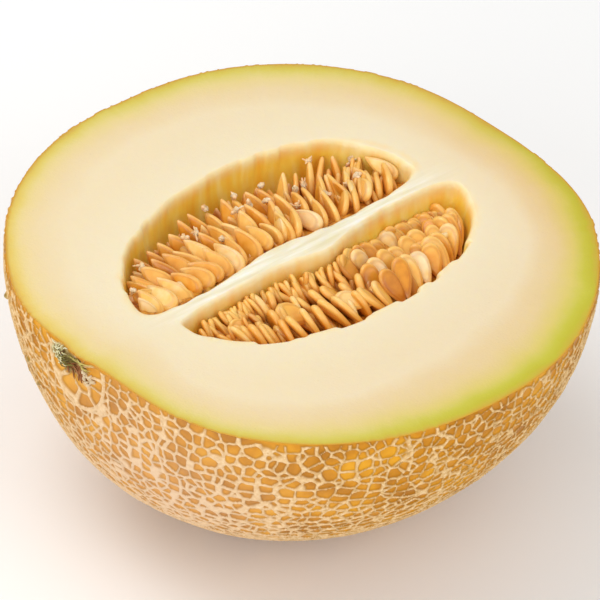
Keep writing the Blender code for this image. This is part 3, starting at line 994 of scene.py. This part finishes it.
# Rows: distance from the pale wall, depth, rise in degrees and step. Seeds lean and roll by so
# many degrees along X.
SEED_LAYOUT = {
    "seeds_back": {
        "rows": (
            (0.0074, 0.0035, 4, 0.0041), (0.0148, 0.0054, 20, 0.0043), (0.0224, 0.0080, 38, 0.0046)
        ),
        "lean": ((-0.045, -14), (-0.010, 0), (0.020, 24), (0.045, 30)),
        "roll": ((-0.045, -42), (-0.010, -58), (0.020, -88), (0.045, -100)),
    },
    "seeds_front": {
        "rows": (
            (0.0062, 0.0090, -34, 0.0042), (0.0126, 0.0069, -34, 0.0041), (0.0190, 0.0050, -36, 0.0040)
        ),
        "lean": ((-0.045, 14), (0.005, 10), (0.030, 0), (0.045, -24)),
        "roll": ((-0.045, -60), (0.004, -52), (0.014, 24), (0.045, 34)),
    },
}
SEED_DRAWS = 41
SEED_SCATTER = 0.0006
SEED_SWING = 9
SEED_SHIFT = 0.0008
SEED_SHIFTS = 10
INWARD_SHARE = 0.93
INWARD_ASIDE = 0.0090
INWARD_DROP = 0.0015
SEED_CLEARANCE = 0.0005
SEED_ROUND = 12
# Rings of a seed: how far out, and how high.
SEED_RINGS = ((0.0, 0.78), (0.52, 0.72), (0.82, 0.80), (1.0, 0.0))
SEED_POINTED = 0.45
SEED_SIZES = (0.84, 1.12)
SEED_TWIST = 17
SEED_TONE_DRAWS = 52
SEED_TONES = (0.24, 0.18)
SEED_TONE_SPREAD = 0.12
# Painted shade: a seed point's tone falls by so much per metre that it lies deeper than this below the
# cut.
SEED_DEPTH_SHADE = 30
SEED_DEPTH_SHADE_FROM = 0.005
# Rows between and under those, with their seeds' size, and the range in X that they are kept in.
FILL_ROWS = {
    "seeds_back": (
        ((0.0050, 0.0068, 6, 0.0042), 1.0, -1, 1),
        ((0.0110, 0.0080, 14, 0.0044), 1.0, -1, 1),
        ((0.0186, 0.0098, 30, 0.0046), 1.0, -1, 1),
        ((0.0262, 0.0125, 50, 0.0046), 1.0, -1, 1),
        ((0.0100, 0.0042, 8, 0.0032), 0.80, 0.024, 1),
        ((0.0160, 0.0060, 30, 0.0032), 0.85, 0.020, 1),
        ((0.0060, 0.0050, 4, 0.0030), 0.75, -1, -0.034),
        ((0.0060, 0.0052, 30, 0.0030), 0.72, 0.030, 1),
    ),
    "seeds_front": (
        ((0.0036, 0.0090, -40, 0.0043), 1.0, -1, 1),
        ((0.0094, 0.0108, -34, 0.0043), 1.0, -1, 1),
        ((0.0158, 0.0088, -34, 0.0042), 1.0, -1, 1),
        ((0.0222, 0.0074, -30, 0.0042), 1.0, -1, 1),
        ((0.0044, 0.0064, -36, 0.0044), 0.95, -0.036, 0.015),
        ((0.0060, 0.0058, -34, 0.0030), 0.72, -1, -0.020),
        ((0.0100, 0.0050, -30, 0.0030), 0.66, -1, -0.026),
        ((0.0060, 0.0086, -34, 0.0032), 0.72, 0.030, 1),
        ((0.0110, 0.0062, -30, 0.0032), 0.75, 0.034, 1),
        ((0.0020, 0.0056, -60, 0.0027), 0.66, -1, 0.015),
        ((0.0042, 0.0064, -52, 0.0029), 0.76, -1, 0.015),
        ((0.0034, 0.0084, -40, 0.0030), 0.72, 0.015, 1),
    ),
}
FILL_SHIFTS = 26
# Seeds that lie across the rows: x, y, depth, heading, rise and roll, size and tone.
LOOSE_SEEDS = {
    "seeds_back": (
        (0.0420, 0.0160, 0.0030, 103, 6, -38, 0.90, 0.36),
        (0.0355, 0.0150, 0.0046, 88, 18, -50, 0.95, 0.20),
        (-0.0425, 0.0120, 0.0046, -36, 2, 34, 0.86, 0.30),
        (-0.0345, 0.0094, 0.0044, 146, -4, -26, 0.90, 0.46),
        (-0.0440, 0.0170, 0.0050, -20, 4, 30, 0.80, 0.22),
        (0.0040, 0.0140, 0.0034, 62, 16, -70, 1.0, 0.34),
    ),
    "seeds_front": (
        (-0.0167, -0.0160, 0.0046, -50, -10, 26, 1.0, 0.26),
        (-0.0005, -0.0212, 0.0040, -42, -6, 30, 1.0, 0.40),
        (0.0400, -0.0130, 0.0050, 20, 0, -34, 0.80, 0.55),
        (-0.0300, -0.0110, 0.0052, -28, -14, 40, 0.80, 0.34),
    ),
}


def pocket_fill(pocket, points, inset):
    """How far out in a pocket points are: 1 is on its wall moved in by inset, less is inside."""
    x, y, z = np.moveaxis(points, -1, 0)
    v = pocket["side"] * (y - middle_line(pocket, x))
    power = np.where(v > 0, pocket["outer_power"], INNER_POWER)
    reach = np.where(v > 0, pocket["outer"], inner_reach(pocket, x)) - inset
    along = np.abs(x - pocket["middle_x"]) / (pocket["half_length"] - inset)
    size = (along**power + (np.abs(v) / reach) ** power) ** (2 / power)
    return size + ((z - CUT_HEIGHT) / (POCKET_DEPTH - inset)) ** 2


def turns_about(axis, degrees):
    """Rotation matrices about one axis, 0 for X to 2 for Z, by an array of degrees."""
    made = np.zeros((len(degrees), 3, 3))
    one, two = (axis + 1) % 3, (axis + 2) % 3
    cosine, sine = np.cos(np.radians(degrees)), np.sin(np.radians(degrees))
    made[:, axis, axis] = 1
    made[:, one, one], made[:, two, two] = cosine, cosine
    made[:, one, two], made[:, two, one] = -sine, sine
    return made


def seed_outline(clock):
    """The teardrop's edge: an oval whose half width narrows in proportion to x, tip at +X."""
    x = np.cos(clock)
    width = SEED_WIDTH / 2 * (1 - SEED_TAPER * x) * np.sin(clock)
    return SEED_LENGTH / 2 * x, width


def seed_row(pocket, layout, row, draws, shifts, scale=1.0):
    """Turns and middles of one row of seeds: a fixed rule, plus a random scatter and swing.

    Scale is the seeds' size against a full-grown one.
    """
    distance, depth, rise, step = row
    side = pocket["side"]
    count = int(2 * pocket["half_length"] / step)
    drawn = draws.random((count, 6)) * 2 - 1
    scatter, swing = drawn[:, :3] * SEED_SCATTER, drawn[:, 3:] * SEED_SWING
    x = pocket["middle_x"] + (np.arange(count) - (count - 1) / 2) * step
    y = middle_line(pocket, x) - side * (inner_reach(pocket, x) - distance)
    lean = np.interp(x, *np.transpose(layout["lean"])) + swing[:, 0]
    roll = np.interp(x, *np.transpose(layout["roll"])) + swing[:, 1]
    turn = turns_about(2, side * (90 - lean)) @ turns_about(1, -(rise + swing[:, 2]))
    turn = turn @ turns_about(0, roll)
    middle = np.stack((x, y, np.full(count, CUT_HEIGHT - depth)), axis=1) + scatter
    settled = settle_seeds(pocket, turn, middle, shifts, scale)
    return turn[settled], middle[settled]


def settle_seeds(pocket, turn, middle, shifts, scale):
    """Moves seeds that would cross the flesh inwards, and says which then lie inside a pocket.

    A seed goes step by step from where it is towards the pocket's middle and down.
    """
    count = len(turn)
    x, y = middle[:, 0], middle[:, 1]
    inner_x = x * INWARD_SHARE
    inner_y = middle_line(pocket, x) + pocket["side"] * INWARD_ASIDE
    shift = np.stack((inner_x - x, inner_y - y, np.full(count, -INWARD_DROP)), axis=1)
    shift *= SEED_SHIFT / np.linalg.norm(shift, axis=1, keepdims=True)
    eighths = np.arange(8) * np.pi / 4
    edge_x, edge_y = seed_outline(eighths)
    quarter = SEED_THICKNESS / 4
    outline = np.concatenate(
        (
            np.stack((edge_x, edge_y, np.full(8, quarter)), axis=1),
            np.stack((edge_x, edge_y, np.full(8, -quarter)), axis=1),
            ((0, 0, 2 * quarter), (0, 0, -2 * quarter)),
        )
    )
    settled = np.zeros(count, bool)
    for _ in range(shifts):
        points = outline * scale @ turn.transpose(0, 2, 1) + middle[:, None]
        settled |= pocket_fill(pocket, points, SEED_CLEARANCE).max(axis=1) < 1
        middle[~settled] += shift[~settled]
    return settled


def seed_shape():
    """One seed's points and quads: rings from the middle of a face out to the edge, on both faces.

    The height falls from the middle, rises to the rim's ridge and drops to nothing at the edge.
    """
    clock = 2 * np.pi * np.arange(SEED_ROUND) / SEED_ROUND
    edge_x, edge_y = seed_outline(clock)
    edge_y = edge_y * (1 - SEED_POINTED * np.maximum(np.cos(clock), 0) ** 3)
    rows = []
    for out, height in SEED_RINGS[1:]:
        level = SEED_THICKNESS / 2 * height * (1 - 0.25 * np.cos(clock) * out)
        rows.append(np.stack((edge_x * out, edge_y * out, level), axis=1))
    under = [row * (1, 1, -1) for row in rows[-2::-1]]
    rows = np.concatenate((*rows, *under))
    tops = np.array(((0.0, 0, SEED_THICKNESS / 2 * SEED_RINGS[0][1]),) * 2)
    tops[1, 2] *= -1
    count = len(rows) // SEED_ROUND
    quads = closed_rows_faces(count, SEED_ROUND, False)
    first = np.arange(0, SEED_ROUND, 2)
    second, third = first + 1, (first + 2) % SEED_ROUND
    base = (count - 1) * SEED_ROUND
    lid = np.stack((first, second, third, np.full(len(first), len(rows))), axis=1)
    floor = np.stack(
        (base + third, base + second, base + first, np.full(len(first), len(rows) + 1)), axis=1
    )
    # How far out each ring is coloured: the underside's two have no groove and no rim.
    edge = np.repeat([ring[0] for ring in SEED_RINGS[1:]] + [0.80, 0.50], SEED_ROUND)
    return np.concatenate((rows, tops)), np.concatenate((quads, lid, floor)), np.append(edge, (0, 0))


# Seed coat: a smooth, wet, horny skin over a pale kernel. It glows a little, has a paler rim in
# a darker groove, stains of 3.8 mm and a film of juice.
seed_coat = new_material("wet_seed_coat")
place = add_node(seed_coat, "TexCoord", {}).outputs["Object"]
# The tone attribute is each seed's own tone, less painted shade for the seed points that lie deep.
tone, outward, tipward = (
    add_node(seed_coat, "Attribute", {}, attribute_name=name).outputs["Fac"]
    for name in ("tone", "edge", "tip")
)
stain = add_node(seed_coat, "TexNoise", {"Vector": place, "Scale": 260.0, "Detail": 3.0})
toned = add_node(seed_coat, "Math", {0: stain, 1: 0.5, 2: tone}, operation="MULTIPLY_ADD")
coat = add_node(
    seed_coat,
    "ValToRGB",
    {"Fac": toned},
    stops=((0.08, "#B8640C"), (0.38, "#ECA02E"), (0.66, "#FCC662"), (1.0, "#FFF0CA")),
)
groove = add_node(
    seed_coat,
    "ValToRGB",
    {"Fac": outward},
    stops=((0.58, "#000000"), (0.72, "#949494"), (0.80, "#848484"), (0.88, "#000000")),
)
grooved = add_node(
    seed_coat, "Mix", {SHARE: groove, UNDER: coat, OVER: linear("#A65410")}, data_type="RGBA"
)
rim_share = add_node(
    seed_coat, "MapRange", {"Value": outward, "From Min": 0.80, "From Max": 0.94, "To Max": 0.45}
)
rimmed = add_node(
    seed_coat, "Mix", {SHARE: rim_share, UNDER: grooved, OVER: linear("#FAC876")}, data_type="RGBA"
)
tipped = add_node(
    seed_coat, "MapRange", {"Value": tipward, "From Min": 0.55, "From Max": 1.0, "To Max": 0.5}
)
seed_colour = add_node(
    seed_coat, "Mix", {SHARE: tipped, UNDER: rimmed, OVER: linear("#F4CC98")}, data_type="RGBA"
)
seed_bump = add_node(seed_coat, "Bump", {"Height": stain, "Strength": 0.25, "Distance": 0.0004})
seed_shader = add_node(
    seed_coat,
    "BsdfPrincipled",
    {
        "Base Color": seed_colour,
        "Roughness": 0.34,
        "IOR": 1.45,
        "Normal": seed_bump,
        "Subsurface Weight": 0.20,
        "Subsurface Radius": (1.0, 0.6, 0.3),
        "Subsurface Scale": 0.0015,
        "Coat Weight": 0.28,
        "Coat Roughness": 0.12,
    },
)
add_node(seed_coat, "OutputMaterial", {"Surface": seed_shader})

draws = np.random.default_rng(SEED_DRAWS)
tone_draws = np.random.default_rng(SEED_TONE_DRAWS)
shape_points, shape_quads, shape_edge = seed_shape()
seed_spots = {}
for name, pocket in POCKETS.items():
    layout = SEED_LAYOUT[name]
    laid = [seed_row(pocket, layout, row, draws, SEED_SHIFTS) for row in layout["rows"]]
    shown = sum(len(turn) for turn, _ in laid)
    grown = [np.ones(shown)]
    for row, scale, start, stop in FILL_ROWS[name]:
        turn, middle = seed_row(pocket, layout, row, tone_draws, FILL_SHIFTS, scale)
        kept = (middle[:, 0] > start) & (middle[:, 0] < stop)
        laid.append((turn[kept], middle[kept]))
        grown.append(np.full(kept.sum(), scale))
    loose = np.array(LOOSE_SEEDS[name])
    turn = turns_about(2, loose[:, 3]) @ turns_about(1, -loose[:, 4]) @ turns_about(0, loose[:, 5])
    middle = loose[:, :3] * (1, 1, -1) + (0, 0, CUT_HEIGHT)
    settled = settle_seeds(pocket, turn, middle, FILL_SHIFTS, 1.0)
    laid.append((turn[settled], middle[settled]))
    loose = loose[settled]
    grown.append(loose[:, 6])
    turn = np.concatenate([one for one, _ in laid])
    middle = np.concatenate([one for _, one in laid])
    grown = np.concatenate(grown)[:, None, None]
    seed_spots[name] = (turn[:shown], middle[:shown])
    count = len(turn)
    twist = tone_draws.uniform(-SEED_TWIST, SEED_TWIST, (3, count))
    twist[:, count - len(loose) :] = 0
    turn = turn @ turns_about(2, twist[0]) @ turns_about(1, twist[1]) @ turns_about(0, twist[2])
    sizes = tone_draws.uniform(*SEED_SIZES, (count, 1, 3)) * grown
    points = (shape_points * sizes) @ turn.transpose(0, 2, 1) + middle[:, None]
    quads = shape_quads + (np.arange(count) * len(shape_points))[:, None, None]
    tones_with_depth_shade = np.where(np.arange(count) < shown, *SEED_TONES)
    tones_with_depth_shade = tones_with_depth_shade + tone_draws.normal(0, SEED_TONE_SPREAD, count)
    tones_with_depth_shade[count - len(loose) :] = loose[:, 7]
    tones_with_depth_shade = np.repeat(tones_with_depth_shade, len(shape_points)).reshape(count, -1)
    # Painted shade: points lying deeper in the hollow are painted darker.
    tones_with_depth_shade -= SEED_DEPTH_SHADE * (CUT_HEIGHT - points[..., 2] - SEED_DEPTH_SHADE_FROM)
    seeds_piece = new_piece(
        "seed_heap_" + name.split("_")[1],
        points.reshape(-1, 3),
        quads.reshape(-1, 4),
        {
            "tone": tones_with_depth_shade,
            "edge": np.tile(shape_edge, count),
            "tip": np.tile(shape_points[:, 0] * 2 / SEED_LENGTH, count),
        },
        seed_coat,
    )
    rounding = seeds_piece.modifiers.new("rounding", "SUBSURF")
    rounding.levels = rounding.render_levels = 1
    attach(seeds_piece, "root")
    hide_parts(name)

# Shreds of the placenta that the seeds hung from: soft, wet, pinkish white strings that curl
# from the seeds' tips, and small clots. Each kind is (length from and to, girth).
SHREDS_EACH = 9
SHRED_SHARE = {"seeds_back": 0.40, "seeds_front": 0.14}
SHRED_KINDS = ((0.0006, 0.0012, 2.6), (0.0004, 0.0009, 3.6), (0.0011, 0.0020, 1.3))
SHRED_STEPS = 7
SHRED_SIDES = 6
SHRED_GIRTH = (0.00012, 0.00020, 0.00022, 0.00019, 0.00021, 0.00020, 0.00010)
SHRED_DRAWS = 61
SHRED_START = 0.44
SHRED_OUTWARD = 0.6
SHRED_SPREAD = 0.75
SHRED_CURL = 0.35
SHRED_CLEARANCE = 0.0003
SHRED_BELOW_CUT = 0.0004

# Placenta: soft, wet tissue that light sinks into, with a blush that changes every 3.3 mm.
shreds = new_material("pinkish_placenta_shreds")
place = add_node(shreds, "TexCoord", {}).outputs["Object"]
blush = add_node(shreds, "TexNoise", {"Vector": place, "Scale": 300.0, "Detail": 2.0})
shred_colour = add_node(
    shreds, "ValToRGB", {"Fac": blush}, stops=((0.30, "#E2AA70"), (0.50, "#F2CA98"), (0.70, "#FCE2BE"))
)
shred_shader = add_node(
    shreds,
    "BsdfPrincipled",
    {
        "Base Color": shred_colour,
        "Roughness": 0.30,
        "IOR": 1.36,
        "Subsurface Weight": 0.25,
        "Subsurface Radius": (1.0, 0.6, 0.4),
        "Subsurface Scale": 0.0006,
    },
)
add_node(shreds, "OutputMaterial", {"Surface": shred_shader})

for name, (turn, middle) in seed_spots.items():
    shred_draws = np.random.default_rng(SHRED_DRAWS)
    chosen = np.repeat(np.flatnonzero(shred_draws.random(len(turn)) < SHRED_SHARE[name]), SHREDS_EACH)
    turn, middle, count = turn[chosen], middle[chosen], len(chosen)
    start = middle + turn[:, :, 0] * SEED_LENGTH * SHRED_START
    heading = SHRED_OUTWARD * turn[:, :, 0] + shred_draws.normal(0, SHRED_SPREAD, (count, 3))
    heading /= np.linalg.norm(heading, axis=1, keepdims=True)
    curl = shred_draws.normal(0, 1.0, (count, 3))
    kind = np.array(SHRED_KINDS)[shred_draws.integers(0, len(SHRED_KINDS), count)]
    length = (kind[:, 0] + (kind[:, 1] - kind[:, 0]) * shred_draws.random(count))[:, None, None]
    along = np.linspace(0, 1, SHRED_STEPS)[:, None]
    path = start[:, None] + length * (heading[:, None] * along + curl[:, None] * SHRED_CURL * along**2)
    girth = shred_draws.uniform(0.7, 1.3, (count, SHRED_STEPS, SHRED_SIDES, 1))
    girth = girth * np.array(SHRED_GIRTH)[:, None, None] * kind[:, 2][:, None, None, None]
    inside = pocket_fill(POCKETS[name], path[:, -1], SHRED_CLEARANCE) < 1
    inside &= path[:, -1, 2] < CUT_HEIGHT - SHRED_BELOW_CUT
    across = np.broadcast_to((0.31, -0.52, 0.79), path.shape)
    points, triangles = strand_mesh(path[inside], across[inside], girth[inside])
    shred_piece = new_piece("shreds_" + name.split("_")[1], points, triangles, {}, shreds)
    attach(shred_piece, "root")
    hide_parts(name)

# A plain white tabletop under the melon.
floor_material = new_material("white_tabletop")
floor_shader = add_node(
    floor_material, "BsdfPrincipled", {"Base Color": linear("#FCFCFB"), "Roughness": 0.6}
)
add_node(floor_material, "OutputMaterial", {"Surface": floor_shader})
FLOOR_HALF = 2.5
corners = np.array(((-1, -1, 0), (1, -1, 0), (1, 1, 0), (-1, 1, 0))) * FLOOR_HALF
floor = new_piece("tabletop", corners, [(0, 1, 2, 3)], {}, floor_material)

# Soft studio light: one big softbox overhead, a stronger one at the front left and a weaker one
# at the front right, in an even white room.
LIGHTS = (
    ("softbox_overhead", (-0.30, 0.55, 1.08), 0.80, 5.6),
    ("softbox_front_left", (-1.15, -0.45, 0.62), 0.90, 5.1),
    ("softbox_front_right", (0.15, -1.10, 0.85), 0.80, 3.0),
)
for label, spot, width, power in LIGHTS:
    lamp = bpy.data.lights.new(label, "AREA")
    lamp.shape, lamp.size, lamp.energy = "SQUARE", width, power
    holder = bpy.data.objects.new(label, lamp)
    holder.location = spot
    aim = Vector((0, 0, 0.05)) - Vector(spot)
    holder.rotation_euler = aim.to_track_quat("-Z", "Y").to_euler()
    bpy.context.scene.collection.objects.link(holder)
room = bpy.data.worlds.new("white_room")
room.use_nodes = True
room.node_tree.nodes["Background"].inputs["Color"].default_value = (1, 1, 1, 1)
room.node_tree.nodes["Background"].inputs["Strength"].default_value = 0.62
bpy.context.scene.world = room
bpy.context.scene.view_settings.view_transform = "Standard"

# The camera stands well back with a long lens, 40 degrees above the level, and leans a little.
ELEVATION = 0.697208
AZIMUTH = -0.782975
LEAN = 0.104720
TARGET = Vector((-0.015245, -0.015854, 0.076))
DISTANCE = 1.56
LENS = 356.3
back = Vector(
    (
        math.sin(AZIMUTH) * math.cos(ELEVATION),
        -math.cos(AZIMUTH) * math.cos(ELEVATION),
        math.sin(ELEVATION),
    )
)
right = Vector((math.cos(AZIMUTH), math.sin(AZIMUTH), 0))
up = back.cross(right)
camera_right = math.cos(LEAN) * right + math.sin(LEAN) * up
camera_up = math.cos(LEAN) * up - math.sin(LEAN) * right
lens = bpy.data.cameras.new("camera")
lens.lens, lens.sensor_width = LENS, 36.0
lens.clip_start, lens.clip_end = 0.1, 20.0
camera = bpy.data.objects.new("camera", lens)
camera.matrix_world = Matrix.Translation(TARGET + back * DISTANCE) @ Matrix(
    (camera_right, camera_up, back)
).transposed().to_4x4()
bpy.context.scene.collection.objects.link(camera)
bpy.context.scene.camera = camera
